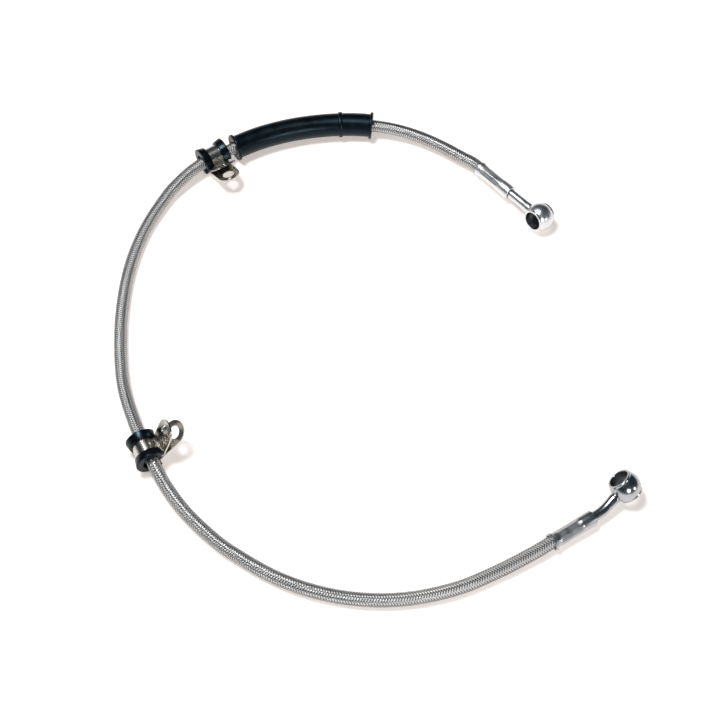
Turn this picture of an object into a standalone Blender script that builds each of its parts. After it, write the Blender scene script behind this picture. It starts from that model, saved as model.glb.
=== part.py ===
"""Braided brake line: a fluid hose with a banjo fitting crimped on each end.

The hose is an inner liner, a steel wire braid and a clear cover, one inside the other.
A rubber sleeve and two rubber lined P-clips sit on it. The line lies on the ground plane
as an open loop. Metres, +Z up, origin in the middle of the line on the ground.
"""
import math

import bmesh
import bpy
from mathutils import Matrix, Vector
from mathutils.geometry import interpolate_bezier

MM = 0.001

# Hose layers
LINER_BORE = 3.2 * MM
LINER_WALL = 0.65 * MM
BRAID_WALL = 0.45 * MM
COVER_WALL = 0.4 * MM
LAYER_GAP = 0.15 * MM
HOSE_POINTS = 38

# Clearance that mating pieces keep, and the small bevel and rounding that turned edges get
FIT_GAP = 0.3 * MM
EDGE_BREAK = 0.1 * MM
EDGE_ROUND = 0.3 * MM

# Crimped ferrule, measured from its mouth towards the banjo
FERRULE_LENGTH = 24.5 * MM
FERRULE_WALL = 0.6 * MM
COLLAR_WALL = 0.72 * MM
COLLAR_LENGTH = 7.5 * MM
UPPER_LIP_WALL = 0.4 * MM
LOWER_LIP_WALL = 0.75 * MM
MOUTH_LIP_LENGTH = 1.3 * MM
CRIMP_DEPTH = 0.25 * MM
CRIMP_FLATS = 8
CRIMP_START = 3.2 * MM
END_WALL = 1.6 * MM
HOSE_INSERT = 16.5 * MM
COVER_INSERT = 0.7 * MM

# Banjo fitting
NECK_DIAMETER = 5.3 * MM
NECK_SWELL = 0.25 * MM
NECK_SWELL_LENGTH = 4.5 * MM
LOCK_GROOVE_DEPTH = 0.6 * MM
SPIGOT_START = 3.0 * MM
BARB_HEIGHT = 0.14 * MM
BARB_PITCH = 3.0 * MM
BARB_COUNT = 4
PASSAGE_DIAMETER = 1.6 * MM
EYE_DIAMETER = 15.3 * MM
EYE_THICKNESS = 11.2 * MM
EYE_BORE = 10.1 * MM
BOSS_DIAMETER = 12.3 * MM
FACE_CHAMFER = 0.3 * MM
OIL_GROOVE_WIDTH = 3.6 * MM
OIL_GROOVE_DEPTH = 0.6 * MM
EYE_REACH = 22.4 * MM
BEND_START = 2.0 * MM
BEND_RADIUS = 22.0 * MM
UPPER_BEND = 0.0
UPPER_ROLL = -81.0
LOWER_BEND = 18.0
LOWER_ROLL = 47.0

# Rubber sleeve
SLEEVE_START = 68.6 * MM
SLEEVE_LENGTH = 81.4 * MM
SLEEVE_BORE_GAP = 0.5 * MM
SLEEVE_WALL = 2.6 * MM
END_BEAD_HEIGHT = 1.2 * MM
MID_BEAD_HEIGHT = 0.7 * MM
END_BEAD_WIDTH = 1.7 * MM
MID_BEAD_WIDTH = 2.4 * MM
MID_BEAD_FROM_START = 18.2 * MM

# P-clips. The upper one follows the sleeve's end, the lower one stands by itself.
SLEEVE_TO_CLIP = 5.2 * MM
LOWER_CLIP_AT = 366.6 * MM
UPPER_CLIP_LEG = 23.0
LOWER_CLIP_LEG = 39.0
CLIP_BORE_GAP = 0.85 * MM
CLIP_OFFSET = 0.5 * MM
CUSHION_WALL = 0.7 * MM
CUSHION_LENGTH = 15.2 * MM
CHANNEL_GAP = 0.15 * MM
FLANGE_HEIGHT_INSIDE = 1.0 * MM
FLANGE_HEIGHT_OUTSIDE = 1.9 * MM
FLANGE_GRIP = 3.1 * MM
STRAP_THICKNESS = 0.8 * MM
STRAP_WIDTH = 12.4 * MM
STRAP_BEND_RADIUS = 0.9 * MM
EAR_HOLE = 6.5 * MM
EAR_HOLE_REACH = 15.9 * MM
EAR_SPREAD = 27.0
CUSHION_FIRST_ANGLE = -88.0
CUSHION_LAST_ANGLE = -15.0

# Facets
TURN_STEPS = 26
FERRULE_STEPS = 24
RING_STEPS = 21

# Middle line of the hose between the two ferrule mouths, in millimetres. Its height is that of
# the hose where it touches the ground, and more where a clip, the sleeve or a ferrule lifts it.
ROUTE = [
    (63.2, 110.7, 6.0), (59.75, 114.6, 5.82), (54.3, 118.3, 5.8), (44.4, 125.3, 5.9),
    (34.1, 131.5, 6.1), (23.5, 136.2, 6.5), (12.5, 139.3, 7.1), (-1.0, 141.1, 7.7),
    (-16.0, 141.4, 7.75), (-32.0, 139.7, 7.75), (-46.0, 136.6, 7.75), (-60.0, 131.6, 7.85),
    (-73.0, 124.7, 8.1), (-85.4, 117.2, 8.2), (-95.8, 109.6, 7.6), (-103.6, 101.8, 6.2),
    (-110.4, 93.0, 4.7), (-121.1, 70.2, 3.45), (-127.2, 45.1, 3.45), (-129.1, 19.0, 3.45),
    (-127.9, -6.0, 3.55), (-123.9, -30.6, 4.6), (-115.4, -54.9, 7.7), (-109.4, -67.4, 8.1),
    (-103.4, -79.2, 7.7), (-97.4, -89.0, 6.0), (-88.3, -100.6, 4.3), (-77.2, -111.6, 3.5),
    (-65.9, -120.9, 3.45), (-40.7, -135.7, 3.45), (-14.0, -144.0, 3.45), (13.6, -145.5, 3.45),
    (40.1, -140.3, 3.45), (61.6, -131.1, 3.6), (78.4, -122.2, 4.2), (82.7, -119.6, 4.4),
    (86.9, -117.0, 4.5),
]
ROUTE_SUBDIVISION = 12

# Radii that follow from the sizes above
LINER_RADIUS = LINER_BORE / 2 + LINER_WALL
BRAID_RADIUS = LINER_RADIUS + LAYER_GAP + BRAID_WALL
COVER_RADIUS = BRAID_RADIUS + LAYER_GAP + COVER_WALL
FERRULE_BORE_RADIUS = BRAID_RADIUS + FIT_GAP
MOUTH_BORE_RADIUS = COVER_RADIUS + FIT_GAP
NECK_RADIUS = NECK_DIAMETER / 2
GROOVE_RADIUS = NECK_RADIUS - LOCK_GROOVE_DEPTH
CUSHION_BORE_RADIUS = COVER_RADIUS + CLIP_BORE_GAP
STRAP_INNER_RADIUS = CUSHION_BORE_RADIUS + CUSHION_WALL + CHANNEL_GAP
STRAP_RADIUS = STRAP_INNER_RADIUS + STRAP_THICKNESS / 2

# Places along the hose that follow from the sizes above
SLEEVE_END = SLEEVE_START + SLEEVE_LENGTH
UPPER_CLIP_AT = SLEEVE_END + SLEEVE_TO_CLIP + CUSHION_LENGTH / 2

UP = Vector((0.0, 0.0, 1.0))


def clear_scene():
    for old in list(bpy.data.objects):
        bpy.data.objects.remove(old)


def new_collection(name):
    group = bpy.data.collections.new(name)
    bpy.context.scene.collection.children.link(group)
    return group


def new_material(name, colour, roughness, metallic, alpha=1.0):
    finish = bpy.data.materials.new(name)
    finish.use_nodes = True
    shader = finish.node_tree.nodes["Principled BSDF"]
    shader.inputs["Base Color"].default_value = (*colour, 1.0)
    shader.inputs["Roughness"].default_value = roughness
    shader.inputs["Metallic"].default_value = metallic
    shader.inputs["Alpha"].default_value = alpha
    finish.diffuse_color = (*colour, alpha)
    return finish


def add_object(name, mesh, group, place=None, finish=None):
    piece = bpy.data.objects.new(name, mesh)
    group.objects.link(piece)
    if place is not None:
        piece.matrix_world = place
    if finish is not None:
        mesh.materials.append(finish)
    return piece


def as_cutter(piece):
    piece.hide_render = True
    piece.display_type = "WIRE"
    return piece


def boolean(piece, cutter, operation):
    step = piece.modifiers.new(cutter.name, "BOOLEAN")
    step.operation = operation
    step.solver = "EXACT"
    step.object = cutter


# Places along the hose

class Route:
    """The smooth middle line of the hose, measured by the distance from the upper ferrule's mouth."""

    def __init__(self, corners):
        knots = [Vector(corner) * MM for corner in corners]
        self.points = []
        for i in range(len(knots) - 1):
            reach = (knots[i + 1] - knots[i]).length / 3
            first = knots[i] + self.heading(knots, i) * reach
            second = knots[i + 1] - self.heading(knots, i + 1) * reach
            stretch = interpolate_bezier(knots[i], first, second, knots[i + 1], ROUTE_SUBDIVISION)
            self.points += stretch if i == 0 else stretch[1:]
        self.distances = [0.0]
        for before, after in zip(self.points, self.points[1:]):
            self.distances.append(self.distances[-1] + (after - before).length)
        self.length = self.distances[-1]

    @staticmethod
    def heading(knots, i):
        before = knots[max(i - 1, 0)]
        after = knots[min(i + 1, len(knots) - 1)]
        return (after - before).normalized()

    def at(self, distance):
        """Point and heading at a distance; past either end the line runs on straight."""
        last = len(self.points) - 1
        i = 1
        while i < last and self.distances[i] < distance:
            i += 1
        heading = (self.points[i] - self.points[i - 1]).normalized()
        return self.points[i - 1] + heading * (distance - self.distances[i - 1]), heading

    def frame(self, distance, towards=1.0):
        """Matrix with +Z along the hose, +Y upwards and +X level."""
        point, heading = self.at(distance)
        along = heading * towards
        level = UP.cross(along).normalized()
        upright = along.cross(level)
        turn = Matrix((level, upright, along)).transposed().to_4x4()
        return Matrix.Translation(point) @ turn


# Shapes

def turned(name, profile, place, group, steps, finish=None):
    """A closed (radius, height) profile turned about +Z, its outer side running top to bottom."""
    mesh = bpy.data.meshes.new(name)
    corners = [(radius, 0.0, height) for radius, height in profile]
    sides = [(i, (i + 1) % len(corners)) for i in range(len(corners))]
    mesh.from_pydata(corners, sides, [])
    piece = add_object(name, mesh, group, place, finish)
    screw = piece.modifiers.new("turn", "SCREW")
    screw.steps = steps
    screw.render_steps = steps
    screw.use_smooth_shade = True
    screw.use_merge_vertices = True
    screw.merge_threshold = 0.00001
    return piece


def curve_mesh(name, points, radii, resolution, group, place=None, capped=True):
    """A tube through the points as a mesh, with a radius at each point."""
    curve = bpy.data.curves.new(name, "CURVE")
    curve.dimensions = "3D"
    curve.bevel_depth = MM
    curve.bevel_resolution = resolution
    curve.use_fill_caps = capped
    line = curve.splines.new("POLY")
    line.points.add(len(points) - 1)
    for knot, point, radius in zip(line.points, points, radii):
        knot.co = (*point, 1.0)
        knot.radius = radius / MM
    guide = add_object(name + "_curve", curve, group, place)
    evaluated = guide.evaluated_get(bpy.context.evaluated_depsgraph_get())
    mesh = bpy.data.meshes.new_from_object(evaluated)
    mesh.name = name
    shape = bmesh.new()
    shape.from_mesh(mesh)
    bmesh.ops.remove_doubles(shape, verts=shape.verts, dist=0.000001)
    bmesh.ops.recalc_face_normals(shape, faces=shape.faces)
    shape.to_mesh(mesh)
    shape.free()
    bpy.data.objects.remove(guide)
    return mesh


def smooth(mesh, angle=35.0):
    mesh.shade_smooth()
    mesh.set_sharp_from_angle(angle=math.radians(angle))


# Hose

def hose_layer(name, route, radius, wall, insert, resolution, group, finish):
    """One tube of the hose. All layers share their points, so that they stay concentric."""
    spacing = route.length / (HOSE_POINTS - 1)
    distances = [-insert] + [i * spacing for i in range(HOSE_POINTS)] + [route.length + insert]
    points = [route.at(distance)[0] for distance in distances]
    mesh = curve_mesh(name, points, [radius] * len(points), resolution, group, capped=False)
    smooth(mesh)
    layer = add_object(name, mesh, group, finish=finish)
    shell = layer.modifiers.new("wall", "SOLIDIFY")
    shell.thickness = wall
    shell.offset = -1.0
    shell.use_even_offset = True
    return layer


def add_hose(route, group, finishes):
    hose_layer("hose_liner", route, LINER_RADIUS, LINER_WALL, HOSE_INSERT, 2, group, finishes["liner"])
    hose_layer("hose_braid", route, BRAID_RADIUS, BRAID_WALL, HOSE_INSERT, 4, group, finishes["braid"])
    hose_layer("hose_cover", route, COVER_RADIUS, COVER_WALL, COVER_INSERT, 4, group, finishes["cover"])


# Ferrule

def ferrule_profile(lip_wall):
    body = FERRULE_BORE_RADIUS + FERRULE_WALL
    collar = FERRULE_BORE_RADIUS + COLLAR_WALL
    lip = MOUTH_BORE_RADIUS + lip_wall
    neck_hole = GROOVE_RADIUS + FIT_GAP
    collar_foot = FERRULE_LENGTH - COLLAR_LENGTH
    return [
        (collar - 1.5 * EDGE_ROUND, FERRULE_LENGTH),
        (collar - 0.4 * EDGE_ROUND, FERRULE_LENGTH - 0.6 * EDGE_ROUND),
        (collar, FERRULE_LENGTH - 2 * EDGE_ROUND), (collar, collar_foot + EDGE_ROUND),
        (body, collar_foot), (body, MOUTH_LIP_LENGTH + 7 * EDGE_BREAK),
        (lip - EDGE_BREAK, MOUTH_LIP_LENGTH + EDGE_BREAK), (lip, MOUTH_LIP_LENGTH - 2 * EDGE_BREAK),
        (lip, 2 * EDGE_BREAK), (lip - EDGE_BREAK, 0.0),
        (MOUTH_BORE_RADIUS + EDGE_BREAK, 0.0), (MOUTH_BORE_RADIUS, EDGE_BREAK),
        (MOUTH_BORE_RADIUS, COVER_INSERT + FIT_GAP),
        (FERRULE_BORE_RADIUS, MOUTH_LIP_LENGTH + EDGE_ROUND),
        (FERRULE_BORE_RADIUS, FERRULE_LENGTH - END_WALL), (neck_hole, FERRULE_LENGTH - END_WALL),
        (neck_hole, FERRULE_LENGTH),
    ]


def crimp_die(name, place, cutters):
    """A ring with an eight sided hole, which presses the flats into the ferrule."""
    crimp_end = FERRULE_LENGTH - COLLAR_LENGTH - FIT_GAP
    length = crimp_end - CRIMP_START
    middle = Matrix.Translation((0.0, 0.0, CRIMP_START + length / 2))
    flat_distance = FERRULE_BORE_RADIUS + FERRULE_WALL - CRIMP_DEPTH
    hole_radius = flat_distance / math.cos(math.pi / CRIMP_FLATS)

    hole = bmesh.new()
    bmesh.ops.create_cone(hole, cap_ends=True, segments=CRIMP_FLATS, radius1=hole_radius,
                          radius2=hole_radius, depth=2 * length, matrix=middle)
    hole_mesh = bpy.data.meshes.new(name + "_hole")
    hole.to_mesh(hole_mesh)
    hole.free()
    hole_piece = as_cutter(add_object(name + "_hole", hole_mesh, cutters, place))

    ring = bmesh.new()
    bmesh.ops.create_cone(ring, cap_ends=True, segments=16, radius1=2 * flat_distance,
                          radius2=2 * flat_distance, depth=length, matrix=middle)
    ring_mesh = bpy.data.meshes.new(name)
    ring.to_mesh(ring_mesh)
    ring.free()
    die = as_cutter(add_object(name, ring_mesh, cutters, place))
    boolean(die, hole_piece, "DIFFERENCE")
    return die


def add_ferrule(name, place, lip_wall, group, cutters, finish):
    ferrule = turned(name, ferrule_profile(lip_wall), place, group, FERRULE_STEPS, finish)
    boolean(ferrule, crimp_die(name + "_die", place, cutters), "DIFFERENCE")


# Banjo fitting

def stem_point(distance, bend):
    """Point on the middle of the fitting's stem, in the frame at the ferrule's mouth."""
    past = distance - FERRULE_LENGTH - BEND_START
    start = FERRULE_LENGTH + BEND_START
    if bend == 0.0 or past <= 0.0:
        return Vector((0.0, 0.0, distance))
    turn = min(past / BEND_RADIUS, bend)
    corner = Vector((0.0, BEND_RADIUS * (1 - math.cos(turn)), start + BEND_RADIUS * math.sin(turn)))
    straight = past - turn * BEND_RADIUS
    return corner + Vector((0.0, math.sin(turn), math.cos(turn))) * straight


def stem_sections():
    """(distance from the mouth, radius) of the stem from its barbed tail to the eye."""
    spigot = LINER_BORE / 2 - FIT_GAP
    shoulder = FERRULE_BORE_RADIUS - FIT_GAP
    wall_inside = FERRULE_LENGTH - END_WALL
    eye = FERRULE_LENGTH + EYE_REACH
    swell = NECK_RADIUS + NECK_SWELL
    swell_end = eye - EYE_DIAMETER / 2
    sections = [(SPIGOT_START, spigot - BARB_HEIGHT)]
    for i in range(BARB_COUNT):
        foot = SPIGOT_START + i * BARB_PITCH
        sections.append((foot + 2 * EDGE_BREAK, spigot - BARB_HEIGHT / 2))
        sections.append((foot + 0.7 * BARB_PITCH, spigot + BARB_HEIGHT))
        sections.append((foot + 0.8 * BARB_PITCH, spigot - BARB_HEIGHT / 2))
    sections += [
        (HOSE_INSERT + FIT_GAP, spigot), (HOSE_INSERT + 1.5 * FIT_GAP, shoulder),
        (wall_inside - FIT_GAP, shoulder), (wall_inside - FIT_GAP / 2, GROOVE_RADIUS),
        (FERRULE_LENGTH + FIT_GAP, GROOVE_RADIUS), (FERRULE_LENGTH + 1.5 * FIT_GAP, NECK_RADIUS),
    ]
    bend_steps = 6
    plain_end = swell_end - NECK_SWELL_LENGTH
    bend_foot = FERRULE_LENGTH + BEND_START
    for i in range(bend_steps + 1):
        sections.append((bend_foot + (plain_end - bend_foot) * i / bend_steps, NECK_RADIUS))
    stem_end = eye - (EYE_DIAMETER + EYE_BORE) / 4
    sections += [(swell_end - 4 * EDGE_ROUND, swell), (swell_end - 2 * EDGE_ROUND, swell),
                 (swell_end, swell - EDGE_ROUND), (stem_end, swell - EDGE_ROUND)]
    return sections


def eye_profile():
    """Ball eye cut to a flat face on both sides, with a bore and an oil groove."""
    ball = EYE_DIAMETER / 2
    face = EYE_THICKNESS / 2
    boss = BOSS_DIAMETER / 2
    bore = EYE_BORE / 2
    side = [(boss - FACE_CHAMFER, face), (boss, face - FACE_CHAMFER)]
    first = math.acos(boss / ball)
    arc_steps = 9
    arc = []
    for i in range(arc_steps + 1):
        angle = first - 2 * first * i / arc_steps
        arc.append((ball * math.cos(angle), ball * math.sin(angle)))
    groove = OIL_GROOVE_WIDTH / 2
    inside = [(bore + FACE_CHAMFER, face), (bore, face - FACE_CHAMFER), (bore, groove),
              (bore + OIL_GROOVE_DEPTH, groove - OIL_GROOVE_DEPTH)]
    mirrored_side = [(radius, -height) for radius, height in reversed(side)]
    mirrored_inside = [(radius, -height) for radius, height in inside]
    return side + arc + mirrored_side + mirrored_inside + inside[::-1]


def add_banjo(name, mouth, bend_degrees, roll_degrees, group, cutters, finish):
    """The stem is bent in the plane that holds the bore's axis, rolled about the ferrule's axis."""
    bend = math.radians(bend_degrees)
    place = mouth @ Matrix.Rotation(-math.radians(roll_degrees), 4, "Z")
    sections = stem_sections()
    stem_mesh = curve_mesh(name + "_stem", [stem_point(d, bend) for d, _ in sections],
                           [radius for _, radius in sections], 5, cutters)
    stem = as_cutter(add_object(name + "_stem", stem_mesh, cutters, place))

    eye_distance = FERRULE_LENGTH + EYE_REACH
    passage_start = SPIGOT_START - MM
    passage_end = eye_distance - EYE_BORE / 4
    passage_steps = 10
    step = (passage_end - passage_start) / passage_steps
    run = [passage_start + i * step for i in range(passage_steps + 1)]
    run = [passage_start] + [d for d in run if d > FERRULE_LENGTH]
    passage_mesh = curve_mesh(name + "_passage", [stem_point(d, bend) for d in run],
                              [PASSAGE_DIAMETER / 2] * len(run), 2, cutters)
    passage = as_cutter(add_object(name + "_passage", passage_mesh, cutters, place))

    # The bore's axis is square to the stem: a quarter turn about X, less the bend
    tilt = Matrix.Rotation(-math.pi / 2 - bend, 4, "X")
    eye_place = place @ Matrix.Translation(stem_point(eye_distance, bend)) @ tilt
    eye = turned(name, eye_profile(), eye_place, group, TURN_STEPS, finish)
    boolean(eye, stem, "UNION")
    boolean(eye, passage, "DIFFERENCE")


# Rubber sleeve

def add_sleeve(route, group, cutters, finish):
    body = COVER_RADIUS + SLEEVE_BORE_GAP + SLEEVE_WALL
    sections = []

    def bead(middle, width, height, steps=5):
        for i in range(steps):
            angle = math.pi * i / (steps - 1)
            offset = -math.cos(angle) * width / 2
            sections.append((middle + offset, body + height * math.sin(angle) ** 0.6))

    def plain(first, last):
        count = max(2, round((last - first) / (8 * MM)))
        for i in range(1, count):
            sections.append((first + (last - first) * i / count, body))

    mid_bead = SLEEVE_START + MID_BEAD_FROM_START
    bead(SLEEVE_START + END_BEAD_WIDTH / 2, END_BEAD_WIDTH, END_BEAD_HEIGHT)
    plain(SLEEVE_START + END_BEAD_WIDTH, mid_bead - MID_BEAD_WIDTH / 2)
    bead(mid_bead, MID_BEAD_WIDTH, MID_BEAD_HEIGHT)
    plain(mid_bead + MID_BEAD_WIDTH / 2, SLEEVE_END - END_BEAD_WIDTH)
    bead(SLEEVE_END - END_BEAD_WIDTH / 2, END_BEAD_WIDTH, END_BEAD_HEIGHT)
    mesh = curve_mesh("protective_sleeve", [route.at(d)[0] for d, _ in sections],
                      [radius for _, radius in sections], 5, group)
    smooth(mesh, 50.0)
    sleeve = add_object("protective_sleeve", mesh, group, finish=finish)

    bore_steps = 12
    overrun = 2 * MM
    first = SLEEVE_START - overrun
    last = SLEEVE_END + overrun
    bore_points = [route.at(first + (last - first) * i / bore_steps)[0] for i in range(bore_steps + 1)]
    bore_radius = COVER_RADIUS + SLEEVE_BORE_GAP
    bore_mesh = curve_mesh("sleeve_bore", bore_points, [bore_radius] * len(bore_points), 4, cutters)
    boolean(sleeve, as_cutter(add_object("sleeve_bore", bore_mesh, cutters)), "DIFFERENCE")


# P-clips. In a clip's own frame the hose runs along Z, and the straight leg of the strap
# runs along +X, tangent to the ring at its lowest point.

def arc_points(centre, radius, first, last, steps):
    points = []
    for i in range(steps + 1):
        angle = math.radians(first + (last - first) * i / steps)
        points.append(Vector((centre.x + radius * math.cos(angle), centre.y + radius * math.sin(angle))))
    return points


def ear_stations(reach):
    """Distances past the strap's plain part, to the ear's round tip, with half the width at each."""
    half = STRAP_WIDTH / 2
    rounding = [(reach + half * math.sin(math.radians(angle)), half * math.cos(math.radians(angle)))
                for angle in (0, 15, 30, 45, 60, 72, 82, 88)]
    return [(reach / 2, half)] + rounding


def strap_layout():
    """Middle line of the strap with its half width, and the two ear holes with their headings."""
    clear_height = STRAP_RADIUS - STRAP_THICKNESS - FIT_GAP - STRAP_BEND_RADIUS
    leave = -math.asin(clear_height / (STRAP_RADIUS + STRAP_BEND_RADIUS))
    bend_centre = Vector((math.cos(leave), math.sin(leave))) * (STRAP_RADIUS + STRAP_BEND_RADIUS)
    leave_degrees = math.degrees(leave)
    ring = arc_points(Vector((0.0, 0.0)), STRAP_RADIUS, -90.0, leave_degrees - 360.0, RING_STEPS + 4)
    bend = arc_points(bend_centre, STRAP_BEND_RADIUS, leave_degrees + 180.0, EAR_SPREAD + 270.0, 8)
    heading = Vector((math.cos(math.radians(EAR_SPREAD)), math.sin(math.radians(EAR_SPREAD))))

    leg_foot = Vector((0.0, -STRAP_RADIUS))
    leg = [(leg_foot + Vector((reach, 0.0)), half) for reach, half in ear_stations(EAR_HOLE_REACH)]
    ear_foot = bend[-1]
    ear_reach = EAR_HOLE_REACH - bend_centre.x
    ear = [(ear_foot + heading * reach, half) for reach, half in ear_stations(ear_reach)]
    half = STRAP_WIDTH / 2
    line = leg[::-1] + [(point, half) for point in ring + bend[1:]] + ear
    leg_hole = leg_foot + Vector((EAR_HOLE_REACH, 0.0))
    ear_hole = ear_foot + heading * ear_reach
    return line, [(leg_hole, 0.0), (ear_hole, EAR_SPREAD)]


def add_strap(name, place, group, cutters, finish):
    line, holes = strap_layout()
    strip = bmesh.new()
    bmesh.ops.create_grid(strip, x_segments=len(line) - 1, y_segments=1, size=0.5)
    for corner in strip.verts:
        i = round((corner.co.x + 0.5) * (len(line) - 1))
        point, half = line[i]
        corner.co = Vector((point.x, point.y, math.copysign(half, corner.co.y)))
    bmesh.ops.recalc_face_normals(strip, faces=strip.faces)
    mesh = bpy.data.meshes.new(name)
    strip.to_mesh(mesh)
    strip.free()
    smooth(mesh, 40.0)
    strap = add_object(name, mesh, group, place, finish)
    plate = strap.modifiers.new("thickness", "SOLIDIFY")
    plate.thickness = STRAP_THICKNESS
    plate.offset = 0.0
    plate.use_even_offset = True
    for number, (centre, spread) in enumerate(holes, start=1):
        drill = bmesh.new()
        stand = Matrix.Rotation(math.radians(spread), 4, "Z") @ Matrix.Rotation(math.pi / 2, 4, "X")
        bmesh.ops.create_cone(drill, cap_ends=True, segments=20, radius1=EAR_HOLE / 2,
                              radius2=EAR_HOLE / 2, depth=3 * STRAP_THICKNESS,
                              matrix=Matrix.Translation((centre.x, centre.y, 0.0)) @ stand)
        drill_mesh = bpy.data.meshes.new(f"{name}_drill_{number}")
        drill.to_mesh(drill_mesh)
        drill.free()
        cutter = as_cutter(add_object(f"{name}_drill_{number}", drill_mesh, cutters, place))
        boolean(strap, cutter, "DIFFERENCE")


def cushion_outline():
    """Section of the rubber channel at one side of the ring, as (radius, height) corners."""
    base = CUSHION_BORE_RADIUS + CUSHION_WALL
    end = CUSHION_LENGTH / 2
    slot_radius = STRAP_INNER_RADIUS + STRAP_THICKNESS + CHANNEL_GAP
    slot_end = STRAP_WIDTH / 2 + CHANNEL_GAP
    lip = slot_end - FLANGE_GRIP
    half = [
        (CUSHION_BORE_RADIUS, end - EDGE_ROUND), (CUSHION_BORE_RADIUS + EDGE_ROUND, end),
        (slot_radius + FLANGE_HEIGHT_OUTSIDE - EDGE_ROUND, end),
        (slot_radius + FLANGE_HEIGHT_OUTSIDE, end - EDGE_ROUND),
        (slot_radius + FLANGE_HEIGHT_INSIDE, lip + EDGE_ROUND),
        (slot_radius + FLANGE_HEIGHT_INSIDE - EDGE_ROUND, lip), (slot_radius, lip + EDGE_BREAK),
        (slot_radius, slot_end), (base, slot_end),
    ]
    return half + [(radius, -height) for radius, height in reversed(half)]


def add_cushion(name, place, group, finish):
    first = math.radians(CUSHION_FIRST_ANGLE)
    sweep = math.radians(CUSHION_LAST_ANGLE - 360.0) - first
    ring = bmesh.new()
    corners = [ring.verts.new((radius, 0.0, height)) for radius, height in cushion_outline()]
    section = ring.faces.new(corners)
    bmesh.ops.rotate(ring, verts=corners, cent=(0.0, 0.0, 0.0), matrix=Matrix.Rotation(first, 3, "Z"))
    bmesh.ops.spin(ring, geom=[section] + list(section.edges) + corners, cent=(0.0, 0.0, 0.0),
                   axis=(0.0, 0.0, 1.0), angle=sweep, steps=RING_STEPS)
    bmesh.ops.recalc_face_normals(ring, faces=ring.faces)
    mesh = bpy.data.meshes.new(name)
    ring.to_mesh(mesh)
    ring.free()
    smooth(mesh)
    add_object(name, mesh, group, place, finish)


def add_clip(label, route, distance, leg_degrees, group, cutters, finishes):
    # The loose ring hangs a little towards the outside of the loop
    hang = Matrix.Translation((-CLIP_OFFSET, 0.0, 0.0))
    place = route.frame(distance) @ hang @ Matrix.Rotation(math.radians(leg_degrees), 4, "Z")
    add_strap(label + "_clip_band", place, group, cutters, finishes["strap"])
    add_cushion(label + "_clip_cushion", place, group, finishes["cushion"])


def make_finishes():
    return {
        "liner": new_material("liner_plastic", (0.86, 0.86, 0.84), 0.45, 0.0),
        "braid": new_material("braided_steel", (0.62, 0.64, 0.66), 0.3, 1.0),
        "cover": new_material("clear_cover", (0.86, 0.88, 0.88), 0.1, 0.0, alpha=0.3),
        "fitting": new_material("plated_fitting", (0.72, 0.74, 0.76), 0.16, 1.0),
        "ferrule": new_material("plated_ferrule", (0.7, 0.73, 0.76), 0.22, 1.0),
        "strap": new_material("clip_steel", (0.8, 0.78, 0.74), 0.2, 1.0),
        "cushion": new_material("clip_rubber", (0.02, 0.022, 0.026), 0.55, 0.0),
        "sleeve": new_material("sleeve_rubber", (0.025, 0.03, 0.036), 0.6, 0.0),
    }


def build():
    clear_scene()
    line = new_collection("brake_line")
    cutters = new_collection("cutters")
    finishes = make_finishes()
    route = Route(ROUTE)
    upper_mouth = route.frame(0.0, towards=-1.0)
    lower_mouth = route.frame(route.length)
    add_hose(route, line, finishes)
    add_ferrule("upper_ferrule", upper_mouth, UPPER_LIP_WALL, line, cutters, finishes["ferrule"])
    add_ferrule("lower_ferrule", lower_mouth, LOWER_LIP_WALL, line, cutters, finishes["ferrule"])
    add_banjo("upper_banjo", upper_mouth, UPPER_BEND, UPPER_ROLL, line, cutters, finishes["fitting"])
    add_banjo("lower_banjo", lower_mouth, LOWER_BEND, LOWER_ROLL, line, cutters, finishes["fitting"])
    add_sleeve(route, line, cutters, finishes["sleeve"])
    add_clip("upper", route, UPPER_CLIP_AT, UPPER_CLIP_LEG, line, cutters, finishes)
    add_clip("lower", route, LOWER_CLIP_AT, LOWER_CLIP_LEG, line, cutters, finishes)


build()
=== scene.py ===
import bisect
import math

import bmesh
import bpy
from bpy.props import FloatProperty, FloatVectorProperty, IntProperty, PointerProperty
from mathutils import Matrix, Vector
from mathutils.geometry import interpolate_bezier


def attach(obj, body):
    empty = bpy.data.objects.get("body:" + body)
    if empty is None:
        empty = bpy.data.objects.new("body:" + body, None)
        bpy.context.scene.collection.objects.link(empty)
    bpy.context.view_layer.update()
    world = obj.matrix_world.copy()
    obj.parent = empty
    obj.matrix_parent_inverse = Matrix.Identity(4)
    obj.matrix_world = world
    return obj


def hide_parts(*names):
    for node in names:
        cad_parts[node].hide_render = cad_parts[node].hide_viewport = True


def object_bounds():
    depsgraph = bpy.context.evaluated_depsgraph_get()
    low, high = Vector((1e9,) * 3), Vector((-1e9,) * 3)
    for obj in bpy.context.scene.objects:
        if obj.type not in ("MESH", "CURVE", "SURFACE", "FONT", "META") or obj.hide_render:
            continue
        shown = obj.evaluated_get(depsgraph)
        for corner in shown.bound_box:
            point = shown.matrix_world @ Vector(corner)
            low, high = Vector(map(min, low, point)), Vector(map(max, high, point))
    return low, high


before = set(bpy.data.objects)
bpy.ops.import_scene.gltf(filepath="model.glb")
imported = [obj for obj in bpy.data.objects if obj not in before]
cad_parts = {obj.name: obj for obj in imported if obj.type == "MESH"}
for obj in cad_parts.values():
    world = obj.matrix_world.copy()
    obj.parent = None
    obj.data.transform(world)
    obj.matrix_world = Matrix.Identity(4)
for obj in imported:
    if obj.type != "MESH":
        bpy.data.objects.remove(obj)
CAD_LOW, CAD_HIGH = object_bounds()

bl_info = {
    "name": "Braided Brake Line",
    "version": (1, 0, 0),
    "blender": (4, 5, 0),
    "location": "View3D > Sidebar > Brake Line",
    "description": "Dresses the brake line's frame: woven hose, fittings, sleeve and clips",
    "category": "Object",
}

MM = 0.001
BODY = "root"

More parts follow.
